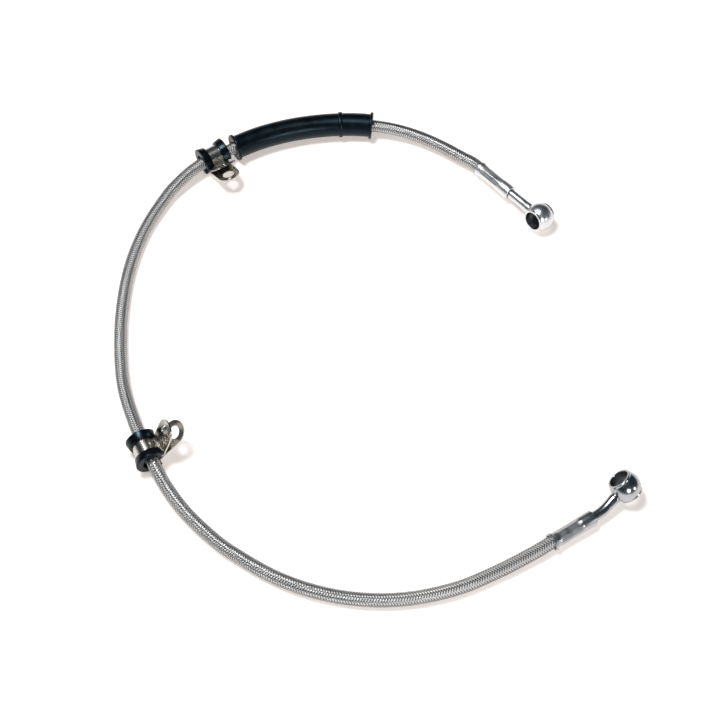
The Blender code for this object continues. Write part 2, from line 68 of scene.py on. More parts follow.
# Middle line of the hose between the two ferrule mouths, in metres, as the solids have it
ROUTE = [
    (0.0632, 0.1107, 0.006), (0.05975, 0.1146, 0.00582), (0.0543, 0.1183, 0.0058),
    (0.0444, 0.1253, 0.0059), (0.0341, 0.1315, 0.0061), (0.0235, 0.1362, 0.0065),
    (0.0125, 0.1393, 0.0071), (-0.001, 0.1411, 0.0077), (-0.016, 0.1414, 0.00775),
    (-0.032, 0.1397, 0.00775), (-0.046, 0.1366, 0.00775), (-0.06, 0.1316, 0.00785),
    (-0.073, 0.1247, 0.0081), (-0.0854, 0.1172, 0.0082), (-0.0958, 0.1096, 0.0076),
    (-0.1036, 0.1018, 0.0062), (-0.1104, 0.093, 0.0047), (-0.1211, 0.0702, 0.00345),
    (-0.1272, 0.0451, 0.00345), (-0.1291, 0.019, 0.00345), (-0.1279, -0.006, 0.00355),
    (-0.1239, -0.0306, 0.0046), (-0.1154, -0.0549, 0.0077), (-0.1094, -0.0674, 0.0081),
    (-0.1034, -0.0792, 0.0077), (-0.0974, -0.089, 0.006), (-0.0883, -0.1006, 0.0043),
    (-0.0772, -0.1116, 0.0035), (-0.0659, -0.1209, 0.00345), (-0.0407, -0.1357, 0.00345),
    (-0.014, -0.144, 0.00345), (0.0136, -0.1455, 0.00345), (0.0401, -0.1403, 0.00345),
    (0.0616, -0.1311, 0.0036), (0.0784, -0.1222, 0.0042), (0.0827, -0.1196, 0.0044),
    (0.0869, -0.117, 0.0045),
]
ROUTE_SUBDIVISION = 12
UP = Vector((0.0, 0.0, 1.0))
# Corners of a shape that lie nearer than this are merged
MERGE_DISTANCE = 0.002 * MM

# The fittings: bend of the neck and roll about the ferrule in degrees, the lip's wall at the
# ferrule's mouth, and the roughness of the two pieces
FITTINGS = {
    "upper": {"bend": 0.0, "roll": -81.0, "lip_wall": 0.4 * MM,
              "ferrule_roughness": 0.36, "banjo_roughness": 0.32},
    "lower": {"bend": 18.0, "roll": 47.0, "lip_wall": 0.75 * MM,
              "ferrule_roughness": 0.3, "banjo_roughness": 0.2},
}
# The clips: distance along the hose, and turn of the straight leg in degrees
CLIPS = {
    "upper": {"at": 162.8 * MM, "leg": 23.0},
    "lower": {"at": 366.6 * MM, "leg": 39.0},
}


# Sizes and colours that a user may change

def length_property(label, description, default):
    return FloatProperty(name=label, description=description, default=default, unit="LENGTH")


def colour_property(label, description, default):
    return FloatVectorProperty(name=label, description=description, default=default,
                               subtype="COLOR", min=0.0, max=1.0)


class HoseSettings(bpy.types.PropertyGroup):
    braid_radius: length_property("Braid radius", "Middle radius of the wire braid", 3.12 * MM)
    cover_radius: length_property("Cover radius", "Outer radius of the clear cover", 3.4 * MM)
    carriers: IntProperty(
        name="Carriers", description="Strands of wire that turn each way, an even number",
        default=10)
    braid_angle: FloatProperty(
        name="Braid angle", description="Angle between a strand and the hose",
        default=math.radians(56.5), subtype="ANGLE")
    wire_colour: colour_property("Wire", "Colour of the braid's wires", (1.0, 1.0, 1.0))
    # The cover's dark colour shows at its edges as painted shade along the hose
    cover_edge_shade_colour: colour_property("Cover", "Tint of the clear cover", (0.09, 0.096, 0.1))


class FittingSettings(bpy.types.PropertyGroup):
    ferrule_length: length_property("Ferrule length", "Length of the crimped ferrule", 24.5 * MM)
    eye_diameter: length_property(
        "Eye diameter", "Diameter of the banjo's ball shaped eye", 15.3 * MM)
    eye_thickness: length_property(
        "Eye thickness", "Distance between the eye's two faces", 11.2 * MM)
    eye_bore: length_property("Eye bore", "Bore for the banjo bolt", 10.1 * MM)
    boss_diameter: length_property("Boss diameter", "Diameter of the eye's flat faces", 12.3 * MM)
    neck_diameter: length_property("Neck diameter", "Diameter of the plain neck", 5.3 * MM)
    crimp_depth: length_property(
        "Crimp depth", "How far the crimped flats are pressed in", 0.25 * MM)
    upper_colour: colour_property(
        "Upper plating", "Colour of the upper fitting", (0.74, 0.75, 0.77))
    # The lower fitting is darker than the upper as painted shade, for the shaded floor and dark
    # room its metal reflects
    lower_shaded_colour: colour_property(
        "Lower plating", "Colour of the lower fitting", (0.45, 0.46, 0.475))


class SleeveSettings(bpy.types.PropertyGroup):
    start: length_property("Start", "Distance from the upper ferrule to the sleeve", 68.6 * MM)
    length: length_property("Length", "Length of the rubber sleeve", 81.4 * MM)
    wall: length_property("Wall", "Wall of the sleeve between its beads", 2.6 * MM)
    colour: colour_property("Rubber", "Colour of the sleeve", (0.0016, 0.003, 0.0046))


class ClipSettings(bpy.types.PropertyGroup):
    strap_width: length_property("Strap width", "Width of the steel strip", 12.4 * MM)
    strap_thickness: length_property("Strap thickness", "Thickness of the steel strip", 0.8 * MM)
    hole: length_property("Ear hole", "Diameter of the screw hole in each ear", 6.5 * MM)
    ear_spread: FloatProperty(
        name="Ear spread", description="Angle between the two ears",
        default=math.radians(27.0), subtype="ANGLE")
    steel_colour: colour_property("Steel", "Colour of the steel strip", (0.55, 0.53, 0.49))
    rubber_colour: colour_property(
        "Rubber", "Colour of the rubber lining", (0.0015, 0.0024, 0.0035))


class StageSettings(bpy.types.PropertyGroup):
    floor_size: length_property("Floor size", "Edge of the square floor", 6.0)
    lens: FloatProperty(
        name="Lens", description="Focal length of the camera, in millimetres", default=70.3)
    floor_colour: colour_property("Floor", "Colour of the pale floor", (0.84, 0.825, 0.81))


# Places along the hose

class HoseLine:
    """The smooth middle line of the hose, measured from the upper ferrule's mouth."""

    def __init__(self, corners):
        knots = [Vector(corner) for corner in corners]
        self.points = []
        for i in range(len(knots) - 1):
            reach = (knots[i + 1] - knots[i]).length / 3
            first = knots[i] + self.heading(knots, i) * reach
            second = knots[i + 1] - self.heading(knots, i + 1) * reach
            stretch = interpolate_bezier(knots[i], first, second, knots[i + 1], ROUTE_SUBDIVISION)
            self.points += stretch if i == 0 else stretch[1:]
        self.distances = [0.0]
        for before, after in zip(self.points, self.points[1:]):
            self.distances.append(self.distances[-1] + (after - before).length)
        self.length = self.distances[-1]

    @staticmethod
    def heading(knots, i):
        before = knots[max(i - 1, 0)]
        after = knots[min(i + 1, len(knots) - 1)]
        return (after - before).normalized()

    def at(self, distance):
        """Point and heading at a distance; past either end the line runs on straight."""
        i = bisect.bisect_left(self.distances, distance, 1, len(self.distances) - 1)
        heading = (self.points[i] - self.points[i - 1]).normalized()
        return self.points[i - 1] + heading * (distance - self.distances[i - 1]), heading

    def frame(self, distance, towards=1.0):
        """Matrix with +Z along the hose, +Y upwards and +X level."""
        point, heading = self.at(distance)
        return self.upright(point, heading * towards)

    def smooth_frame(self, distance):
        """As frame, with a heading that turns evenly from point to point."""
        point = self.at(distance)[0]
        ahead = self.at(distance + MM)[0]
        behind = self.at(distance - MM)[0]
        return self.upright(point, (ahead - behind).normalized())

    @staticmethod
    def upright(point, along):
        level = UP.cross(along).normalized()
        turn = Matrix((level, along.cross(level), along)).transposed().to_4x4()
        return Matrix.Translation(point) @ turn


HOSE = HoseLine(ROUTE)
# Frames at the two ferrule mouths, with +Z into the fitting
MOUTHS = {"upper": HOSE.frame(0.0, towards=-1.0), "lower": HOSE.frame(HOSE.length)}


# Meshes

def add_piece(name, shape, material=None, sharp=35.0):
    """Makes the shape an object that rides on the part's body."""
    mesh = bpy.data.meshes.new(name)
    shape.to_mesh(mesh)
    shape.free()
    mesh.shade_smooth()
    mesh.set_sharp_from_angle(angle=math.radians(sharp))
    piece = bpy.data.objects.new(name, mesh)
    bpy.context.scene.collection.objects.link(piece)
    if material is not None:
        mesh.materials.append(material)
    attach(piece, BODY)
    return piece


def finished_mesh(piece):
    """The piece's mesh with its modifiers applied."""
    evaluated = piece.evaluated_get(bpy.context.evaluated_depsgraph_get())
    return bpy.data.meshes.new_from_object(evaluated)


def add_boolean(piece, operation, tool):
    cut = piece.modifiers.new(tool.name, "BOOLEAN")
    cut.operation = operation
    cut.solver = "EXACT"
    cut.object = tool


def apply_modifiers(piece, sharp):
    """Keeps the result of the modifiers, with edges over this angle sharp."""
    mesh = finished_mesh(piece)
    piece.modifiers.clear()
    old = piece.data
    piece.data = mesh
    mesh.name = old.name
    bpy.data.meshes.remove(old)
    mesh.shade_smooth()
    mesh.set_sharp_from_angle(angle=math.radians(sharp))


def filleted(corners, steps=4):
    """Rounds the corners (x, y, fillet) of a closed outline."""
    outline = []
    count = len(corners)
    for i, (x, y, fillet) in enumerate(corners):
        corner = Vector((x, y))
        before = Vector(corners[i - 1][:2]) - corner
        after = Vector(corners[(i + 1) % count][:2]) - corner
        if fillet <= 0.0:
            outline.append(corner)
            continue
        room = 0.49 * min(before.length, after.length)
        reach = min(fillet, room)
        first = corner + before.normalized() * reach
        last = corner + after.normalized() * reach
        for j in range(steps + 1):
            t = j / steps
            outline.append(first * (1 - t) ** 2 + corner * (2 * t * (1 - t)) + last * t ** 2)
    return outline


def turned(outline, steps):
    """A closed (radius, height) outline turned about +Z."""
    shape = bmesh.new()
    corners = [shape.verts.new((radius, 0.0, height)) for radius, height in outline]
    for i in range(len(corners)):
        shape.edges.new((corners[i - 1], corners[i]))
    bmesh.ops.spin(shape, geom=list(shape.verts) + list(shape.edges), cent=(0.0, 0.0, 0.0),
                   axis=(0.0, 0.0, 1.0), angle=2 * math.pi, steps=steps, use_merge=True)
    bmesh.ops.remove_doubles(shape, verts=shape.verts, dist=MERGE_DISTANCE)
    bmesh.ops.recalc_face_normals(shape, faces=shape.faces)
    return shape


def swept(places, sections, segments, closed):
    """Rings round the places, one for each (index of place, radius). A closed sweep joins its
    last ring to its first, so the sections run out along the wall and back along its bore."""
    rings = len(sections) if closed else len(sections) - 1
    shape = bmesh.new()
    shape.loops.layers.uv.new("UVMap")
    bmesh.ops.create_grid(shape, x_segments=rings, y_segments=segments, size=0.5, calc_uvs=True)
    for corner in shape.verts:
        i = round((corner.co.x + 0.5) * rings) % len(sections)
        angle = 2 * math.pi * round((corner.co.y + 0.5) * segments) / segments
        index, radius = sections[i]
        place = places[index]
        corner.co = place @ Vector((radius * math.cos(angle), radius * math.sin(angle), 0.0))
    bmesh.ops.remove_doubles(shape, verts=shape.verts, dist=MERGE_DISTANCE)
    bmesh.ops.recalc_face_normals(shape, faces=shape.faces)
    return shape


def smoothstep(low, high, value):
    """Rises smoothly from 0 at the low value to 1 at the high one."""
    t = min(max((value - low) / (high - low), 0.0), 1.0)
    return t * t * (3 - 2 * t)


# Materials

def new_material(name, colour, roughness, metallic=0.0):
    material = bpy.data.materials.new(name)
    material.use_nodes = True
    shader = material.node_tree.nodes["Principled BSDF"]
    shader.inputs["Base Color"].default_value = (*colour, 1.0)
    shader.inputs["Roughness"].default_value = roughness
    shader.inputs["Metallic"].default_value = metallic
    return material, shader


def add_node(material, kind, **values):
    node = material.node_tree.nodes.new(kind)
    for key, value in values.items():
        setattr(node, key, value)
    return node


def link(material, source, target):
    material.node_tree.links.new(source, target)


def noise(material, coordinates, scale, detail=3.0):
    node = add_node(material, "ShaderNodeTexNoise")
    node.inputs["Scale"].default_value = scale
    node.inputs["Detail"].default_value = detail
    link(material, coordinates, node.inputs["Vector"])
    return node.outputs["Fac"]


def spread(material, source, low, high, from_low=0.3, from_high=0.7):
    """Maps the middle of a noise to a range of values."""
    node = add_node(material, "ShaderNodeMapRange")
    node.inputs["From Min"].default_value = from_low
    node.inputs["From Max"].default_value = from_high
    node.inputs["To Min"].default_value = low
    node.inputs["To Max"].default_value = high
    link(material, source, node.inputs["Value"])
    return node.outputs["Result"]


def blend_colours(material, factor, first, second):
    node = add_node(material, "ShaderNodeMix", data_type="RGBA")
    # The colour sockets of a Mix node share their names with those of its other types
    node.inputs[6].default_value = (*first, 1.0)
    node.inputs[7].default_value = (*second, 1.0)
    link(material, factor, node.inputs[0])
    return node.outputs[2]


def maths(material, operation, *terms):
    """Result of a maths node. Each term is the output of another node, or a number."""
    node = add_node(material, "ShaderNodeMath", operation=operation)
    for socket, term in zip(node.inputs, terms):
        if isinstance(term, bpy.types.NodeSocket):
            link(material, term, socket)
        else:
            socket.default_value = term
    return node.outputs["Value"]


def bump(material, shader, height, distance, strength):
    node = add_node(material, "ShaderNodeBump")
    node.inputs["Strength"].default_value = strength
    node.inputs["Distance"].default_value = distance
    link(material, height, node.inputs["Height"])
    link(material, node.outputs["Normal"], shader.inputs["Normal"])


def shade(colour, factor):
    return tuple(min(1.0, channel * factor) for channel in colour)


def cloudy(material, shader, scale, roughness_range, colours=None):
    """Clouds of noise vary the gloss, and between two colours. Returns their coordinates."""
    coordinates = add_node(material, "ShaderNodeTexCoord").outputs["Object"]
    clouds = noise(material, coordinates, scale)
    link(material, spread(material, clouds, *roughness_range), shader.inputs["Roughness"])
    if colours is not None:
        patches = spread(material, clouds, 0.0, 1.0)
        link(material, blend_colours(material, patches, *colours), shader.inputs["Base Color"])
    return coordinates


WIRES_PER_STRAND = 5


def wire_material(colour):
    """Each strand is a few parallel wires, across the strand's own UV map. Painted shade darkens it
    where it dives under its neighbours and in the furrows between its wires."""
    material, shader = new_material("braid_wire", colour, 0.43, 1.0)
    shader.inputs["Anisotropic"].default_value = 0.9
    shader.inputs["Anisotropic Rotation"].default_value = 0.25
    tangent = add_node(material, "ShaderNodeTangent", direction_type="UV_MAP")
    link(material, tangent.outputs["Tangent"], shader.inputs["Tangent"])
    coordinates = add_node(material, "ShaderNodeTexCoord")
    parts = add_node(material, "ShaderNodeSeparateXYZ")
    link(material, coordinates.outputs["UV"], parts.inputs["Vector"])
    wave = maths(material, "MULTIPLY", parts.outputs["Y"], WIRES_PER_STRAND * 2 * math.pi)
    ridge = maths(material, "COSINE", wave)
    furrow = spread(material, ridge, 1.0, 0.0, -1.0, 0.6)
    depth = add_node(material, "ShaderNodeAttribute", attribute_name="on_top")
    light = spread(material, depth.outputs["Fac"], 0.0, 1.0, -0.45, 0.6)
    painted_brightness = maths(material, "MULTIPLY", spread(material, furrow, 0.6, 1.0, 0.0, 1.0), light)
    # Painted shade: the colour falls to near black where the strand dives under and in the furrows
    # between its wires
    link(material, blend_colours(material, painted_brightness, shade(colour, 0.06), colour),
         shader.inputs["Base Color"])
    bump(material, shader, furrow, 0.08 * MM, 0.6)
    return material


def cover_material(colour):
    """Clear glossy cover: seen through in the middle, more opaque where it is seen edge on, where
    its dark colour is painted shade along the hose's edges.
    """
    material, shader = new_material("clear_cover_gloss", colour, 0.12)
    shader.inputs["IOR"].default_value = 2.2
    facing = add_node(material, "ShaderNodeLayerWeight")
    facing.inputs["Blend"].default_value = 0.5
    opacity = spread(material, facing.outputs["Facing"], 0.07, 0.52, 0.25, 0.98)
    link(material, opacity, shader.inputs["Alpha"])
    return material


def plating_material(name, colour, roughness, grain=0.035):
    """Bright plating with faint tool marks and slightly uneven gloss."""
    material, shader = new_material(name, colour, roughness, 1.0)
    coordinates = cloudy(material, shader, 260.0, (roughness * 0.85, roughness * 1.15),
                         (shade(colour, 0.93), colour))
    bump(material, shader, noise(material, coordinates, 900.0, 4.0), 0.01 * MM, grain)
    return material


def rubber_material(name, colour, roughness):
    """Moulded rubber: fine grain and a dull gloss."""
    material, shader = new_material(name, colour, roughness)
    shader.inputs["Specular IOR Level"].default_value = 0.25
    shader.inputs["Specular Tint"].default_value = (0.5, 0.78, 1.0, 1.0)
    coordinates = cloudy(material, shader, 140.0, (roughness * 0.8, roughness * 1.25),
                         (shade(colour, 0.75), shade(colour, 1.3)))
    bump(material, shader, noise(material, coordinates, 2600.0, 2.0), 0.05 * MM, 0.15)
    return material


def liner_material():
    """Waxy white plastic."""
    material, shader = new_material("liner_wax", (0.84, 0.84, 0.82), 0.45)
    cloudy(material, shader, 400.0, (0.38, 0.52))
    return material


def finish_node(name, material):
    """Gives a solid of the frame that stays in view its finish."""
    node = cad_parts[name]
    node.data.materials.clear()
    node.data.materials.append(material)


# Hose

# Distance between the rings of the core and the cover
RING_STEP = 1.5 * MM
# How far the braid and the cover reach into the ferrules
BRAID_OVERLAP = 2.0 * MM
COVER_OVERLAP = 0.6 * MM
# Dark sheet of painted shade under the strands: how far it lies below their middle, and its wall
GAP_SHADE_SINK = 0.16 * MM
GAP_SHADE_WALL = 0.2 * MM
# Rise and fall of a strand at its crossings, and the height of its crown
STRAND_LIFT = 0.09 * MM
STRAND_CROWN = 0.06 * MM
# Share of its pitch that a strand covers
STRAND_FILL = 0.72
# How far the braid is drawn in under the ferrules, and over what length
BRAID_TUCK = 0.36 * MM
BRAID_TUCK_LENGTH = 1.2 * MM


def braid_radius(settings, distance):
    """Middle radius of the braid, drawn in beyond the ends of the hose line."""
    past = max(-distance, distance - HOSE.length)
    return settings.braid_radius - BRAID_TUCK * smoothstep(0.0, BRAID_TUCK_LENGTH, past)


def add_braid_gap_shade(settings, material):
    """Dark sheet under the braid, painted shade that shows in the gaps between the strands."""
    length = HOSE.length + 2 * BRAID_OVERLAP
    count = round(length / RING_STEP)
    distances = [-BRAID_OVERLAP + i * length / count for i in range(count + 1)]
    places = [HOSE.smooth_frame(distance) for distance in distances]
    sections = [(i, braid_radius(settings, distance) - GAP_SHADE_SINK)
                for i, distance in enumerate(distances)]
    sections += [(i, radius - GAP_SHADE_WALL) for i, radius in reversed(sections)]
    shape = swept(places, sections, 32, closed=True)
    gap_shade_sheet = add_piece("braid_gap_shade", shape, material)


def add_braid(settings, material):
    """Crowned strands that turn both ways round the hose, each over two and under the next two.
    The floats of one way lie in line along the hose, in columns between those of the other."""
    length = HOSE.length + 2 * BRAID_OVERLAP
    carriers = settings.carriers
    turn_rate = math.tan(settings.braid_angle) / settings.braid_radius
    crossing = math.pi / carriers / turn_rate
    steps = 2 * round(length / crossing)
    distances = [-BRAID_OVERLAP + length * i / steps for i in range(steps + 1)]
    places = [HOSE.smooth_frame(distance) for distance in distances]
    radii = [braid_radius(settings, distance) for distance in distances]
    half_angle = STRAND_FILL * math.pi / carriers
    shape = bmesh.new()
    shape.loops.layers.uv.new("UVMap")
    # on_top says where a strand lies over or under; the wire material paints shade from it
    on_top = shape.verts.layers.float.new("on_top")

    def lies_over(way, number, crossed):
        return way if (2 * number + way * crossed) % 4 < 2 else -way

    for way in (1, -1):
        for number in range(carriers):
            phase = 2 * math.pi * number / carriers
            grid = bmesh.ops.create_grid(shape, x_segments=steps, y_segments=2, size=0.5,
                                         calc_uvs=True)
            for corner in grid["verts"]:
                i = round((corner.co.x + 0.5) * steps)
                side = round(2 * corner.co.y)
                over = (lies_over(way, number, i // 2)
                        + lies_over(way, number, (i + 1) // 2)) / 2
                ring = radii[i] + STRAND_LIFT * over + STRAND_CROWN * (1 - abs(side))
                angle = phase + way * turn_rate * length * i / steps + side * half_angle
                corner[on_top] = over
                corner.co = places[i] @ Vector((ring * math.cos(angle),
                                                ring * math.sin(angle), 0.0))
    braid = add_piece("wire_braid", shape, material, sharp=80.0)
    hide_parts("hose_braid")


def add_cover(settings, material):
    """The clear cover is one open skin, so that the braid shows without a second wall."""
    length = HOSE.length + 2 * COVER_OVERLAP
    count = round(length / RING_STEP)
    places = [HOSE.smooth_frame(-COVER_OVERLAP + i * length / count) for i in range(count + 1)]
    sections = [(i, settings.cover_radius) for i in range(count + 1)]
    cover = add_piece("clear_cover", swept(places, sections, 40, closed=False), material)
    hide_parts("hose_cover")


class BRAKELINE_OT_hose(bpy.types.Operator):
    """Adds the woven hose with its clear cover"""
    bl_idname = "brakeline.hose"
    bl_label = "Hose"

    def execute(self, context):
        settings = context.scene.brakeline_hose
        finish_node("hose_liner", liner_material())
        # Painted shade: a near-black material for the sheet under the braid
        shadow = plating_material("braid_shadow", (0.03, 0.03, 0.032), roughness=0.6)
        add_braid_gap_shade(settings, shadow)
        add_braid(settings, wire_material(tuple(settings.wire_colour)))
        add_cover(settings, cover_material(tuple(settings.cover_edge_shade_colour)))
        return {"FINISHED"}


# Ferrules

FERRULE_BORE_RADIUS = 3.15 * MM
MOUTH_BORE_RADIUS = 3.7 * MM
FERRULE_WALL = 0.6 * MM
COLLAR_WALL = 0.72 * MM
COLLAR_LENGTH = 7.5 * MM
LIP_LENGTH = 1.3 * MM
CRIMP_START = 3.2 * MM
CRIMP_RUN_OUT = 0.9 * MM
CRIMP_FLATS = 8
END_WALL = 1.6 * MM
GROOVE_RADIUS = 2.05 * MM
CLEARANCE = 0.3 * MM
# Fine lengthwise ripples that drawing leaves in the pressed wall
RIPPLE_COUNT = 20
RIPPLE_HEIGHT = 0.025 * MM


def ferrule_outline(settings, lip_wall):
    """Section of the ferrule from its collar to the mouth, with +height away from the hose."""
    length = settings.ferrule_length
    body = FERRULE_BORE_RADIUS + FERRULE_WALL
    collar = FERRULE_BORE_RADIUS + COLLAR_WALL
    lip = MOUTH_BORE_RADIUS + lip_wall
    foot = length - COLLAR_LENGTH
    hole = GROOVE_RADIUS + CLEARANCE
    round_edge = 0.5 * MM
    fine_edge = 0.15 * MM
    corners = [(collar, length, round_edge), (collar, foot + 0.25 * MM, fine_edge),
               (body, foot, fine_edge)]
    rings = 18
    body_end = LIP_LENGTH + 0.7 * MM
    for i in range(1, rings):
        corners.append((body, foot + (body_end - foot) * i / rings, 0.0))
    corners += [
        (body, body_end, fine_edge), (lip, LIP_LENGTH, fine_edge), (lip, 0.0, fine_edge),
        (MOUTH_BORE_RADIUS, 0.0, fine_edge), (MOUTH_BORE_RADIUS, LIP_LENGTH, 0.0),
        (FERRULE_BORE_RADIUS, LIP_LENGTH + CLEARANCE, 0.0),
        (FERRULE_BORE_RADIUS, length - END_WALL, 0.0), (hole, length - END_WALL, 0.0),
        (hole, length, fine_edge),
    ]
    return filleted(corners)


def press_flats(shape, settings):
    """Presses the crimping jaws' flats into the ferrule's wall."""
    crimp_end = settings.ferrule_length - COLLAR_LENGTH - CLEARANCE
    flat = FERRULE_BORE_RADIUS + FERRULE_WALL - settings.crimp_depth
    step = 2 * math.pi / CRIMP_FLATS
    for corner in shape.verts:
        radius = math.hypot(corner.co.x, corner.co.y)
        if radius < FERRULE_BORE_RADIUS + 0.2 * MM:
            continue
        angle = math.atan2(corner.co.y, corner.co.x)
        from_flat = (angle + step / 2) % step - step / 2
        ripple = RIPPLE_HEIGHT * math.cos(RIPPLE_COUNT * angle)
        pressed = min(radius, flat / math.cos(from_flat)) + ripple
        depth = smoothstep(CRIMP_START, CRIMP_START + CRIMP_RUN_OUT, corner.co.z)
        depth *= 1.0 - smoothstep(crimp_end - CRIMP_RUN_OUT, crimp_end, corner.co.z)
        factor = 1.0 + (pressed / radius - 1.0) * depth
        corner.co.x *= factor
        corner.co.y *= factor


def add_ferrule(label, settings, material):
    shape = turned(ferrule_outline(settings, FITTINGS[label]["lip_wall"]), 160)
    press_flats(shape, settings)
    shape.transform(MOUTHS[label])
    ferrule = add_piece(label + "_crimped_ferrule", shape, material, sharp=40.0)
    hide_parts(label + "_ferrule")


# Banjo fittings

BEND_START = 2.0 * MM
BEND_RADIUS = 22.0 * MM
EYE_REACH = 22.4 * MM
NECK_SWELL = 0.25 * MM
NECK_SWELL_LENGTH = 4.5 * MM
HOSE_INSERT = 16.5 * MM
SPIGOT_START = 3.0 * MM
SPIGOT_RADIUS = 1.3 * MM
PASSAGE_RADIUS = 0.8 * MM
OIL_GROOVE_WIDTH = 3.6 * MM
OIL_GROOVE_DEPTH = 0.6 * MM


def stem_point(settings, distance, bend):
    """Point on the middle of the fitting's stem, in the frame at the ferrule's mouth."""
    start = settings.ferrule_length + BEND_START
    past = distance - start
    if bend == 0.0 or past <= 0.0:
        return Vector((0.0, 0.0, distance))
    turn = min(past / BEND_RADIUS, bend)
    corner = Vector((0.0, BEND_RADIUS * (1 - math.cos(turn)), start + BEND_RADIUS * math.sin(turn)))
    straight = past - turn * BEND_RADIUS
    return corner + Vector((0.0, math.sin(turn), math.cos(turn))) * straight


def stem_frame(settings, distance, bend):
    """Matrix with +Z along the stem."""
    point = stem_point(settings, distance, bend)
    ahead = stem_point(settings, distance + 0.1 * MM, bend)
    along = (ahead - point).normalized()
    across = Vector((1.0, 0.0, 0.0))
    turn = Matrix((across, along.cross(across), along)).transposed().to_4x4()
    return Matrix.Translation(point) @ turn


def stem_sections(settings):
    """(distance from the mouth, radius) of the stem from its tail in the hose to the eye."""
    length = settings.ferrule_length
    neck = settings.neck_diameter / 2
    swell = neck + NECK_SWELL
    eye = length + EYE_REACH
    swell_end = eye - settings.eye_diameter / 2
    shoulder = FERRULE_BORE_RADIUS - CLEARANCE
    sections = [
        (SPIGOT_START, SPIGOT_RADIUS - 0.1 * MM), (SPIGOT_START + 0.3 * MM, SPIGOT_RADIUS),
        (HOSE_INSERT + CLEARANCE, SPIGOT_RADIUS), (HOSE_INSERT + 1.5 * CLEARANCE, shoulder),
        (length - END_WALL - CLEARANCE, shoulder),
        (length - END_WALL - CLEARANCE / 2, GROOVE_RADIUS),
        (length + CLEARANCE, GROOVE_RADIUS), (length + 1.3 * CLEARANCE, neck - 0.12 * MM),
        (length + 1.8 * CLEARANCE, neck),
    ]
    plain_end = swell_end - NECK_SWELL_LENGTH
    first = length + BEND_START
    steps = 14
    for i in range(steps + 1):
        sections.append((first + (plain_end - first) * i / steps, neck))
    for share in (0.3, 0.6, 0.85, 0.95):
        t = smoothstep(0.0, 0.85, share)
        sections.append((plain_end + NECK_SWELL_LENGTH * share, neck + (swell - neck) * t))
    sections += [
        (swell_end - 0.05 * MM, swell - 0.1 * MM), (swell_end + 0.1 * MM, swell - 0.3 * MM),
        (eye - (settings.eye_diameter + settings.eye_bore) / 4, swell - 0.3 * MM),
    ]
    return sections


def eye_outline(settings):
    """Ball eye cut to a flat face on both sides, with a bore and an oil groove."""
    ball = settings.eye_diameter / 2
    face = settings.eye_thickness / 2
    boss = settings.boss_diameter / 2
    bore = settings.eye_bore / 2
    fine = 0.12 * MM
    half = [(bore, face, 0.25 * MM), (boss, face, 0.35 * MM)]
    first = math.acos(boss / ball)
    steps = 28
    arc = []
    for i in range(steps + 1):
        angle = first - 2 * first * i / steps
        arc.append((ball * math.cos(angle), ball * math.sin(angle), 0.0))
    groove = OIL_GROOVE_WIDTH / 2
    deep = OIL_GROOVE_DEPTH
    inside = [
        (bore, -groove, fine), (bore + deep, -groove + deep, fine),
        (bore + deep, groove - deep, fine), (bore, groove, fine),
    ]
    mirrored = [(radius, -height, fillet) for radius, height, fillet in reversed(half)]
    return filleted(half + arc + mirrored + inside)


def tube(settings, sections, bend, segments):
    """A closed round bar along the stem."""
    places = [stem_frame(settings, distance, bend) for distance, _ in sections]
    rings = [(i, radius) for i, (_, radius) in enumerate(sections)]
    shape = swept(places, rings, segments, closed=False)
    bmesh.ops.holes_fill(shape, edges=[edge for edge in shape.edges if edge.is_boundary], sides=0)
    bmesh.ops.recalc_face_normals(shape, faces=shape.faces)
    return shape


def darken_bore(banjo, settings, eye_place, material):
    """The bore's wall gets a darker, rougher material: painted shade for the dark inside of the
    bore.
    """
    banjo.data.materials.append(material)
    inverse = eye_place.inverted()
    limit = settings.eye_bore / 2 + OIL_GROOVE_DEPTH + 0.1 * MM
    face = settings.eye_thickness / 2 - 0.2 * MM
    for polygon in banjo.data.polygons:
        centre = inverse @ polygon.center
        if math.hypot(centre.x, centre.y) < limit and abs(centre.z) < face:
            polygon.material_index = len(banjo.data.materials) - 1


def add_banjo(label, settings, material, bore_shade_material):
    """The eye and its stem are joined, and the passage is drilled through to the bore."""
    bend = math.radians(FITTINGS[label]["bend"])
    roll = math.radians(FITTINGS[label]["roll"])
    place = MOUTHS[label] @ Matrix.Rotation(-roll, 4, "Z")
    eye_distance = settings.ferrule_length + EYE_REACH

    eye_shape = turned(eye_outline(settings), 96)
    tilt = Matrix.Rotation(-math.pi / 2 - bend, 4, "X")
    eye_place = place @ Matrix.Translation(stem_point(settings, eye_distance, bend)) @ tilt
    eye_shape.transform(eye_place)
    banjo = add_piece(label + "_banjo_fitting", eye_shape, material)

    stem_shape = tube(settings, stem_sections(settings), bend, 48)
    stem_shape.transform(place)
    stem = add_piece(label + "_stem", stem_shape)

    passage_end = eye_distance - settings.eye_bore / 4
    steps = 12
    first = SPIGOT_START - MM
    run = [(first + (passage_end - first) * i / steps, PASSAGE_RADIUS) for i in range(steps + 1)]
    passage_shape = tube(settings, run, bend, 20)
    passage_shape.transform(place)
    passage = add_piece(label + "_passage", passage_shape)

    add_boolean(banjo, "UNION", stem)
    add_boolean(banjo, "DIFFERENCE", passage)
    apply_modifiers(banjo, sharp=30.0)
    for tool in (stem, passage):
        bpy.data.objects.remove(tool)
    darken_bore(banjo, settings, eye_place, bore_shade_material)
    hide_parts(label + "_banjo")


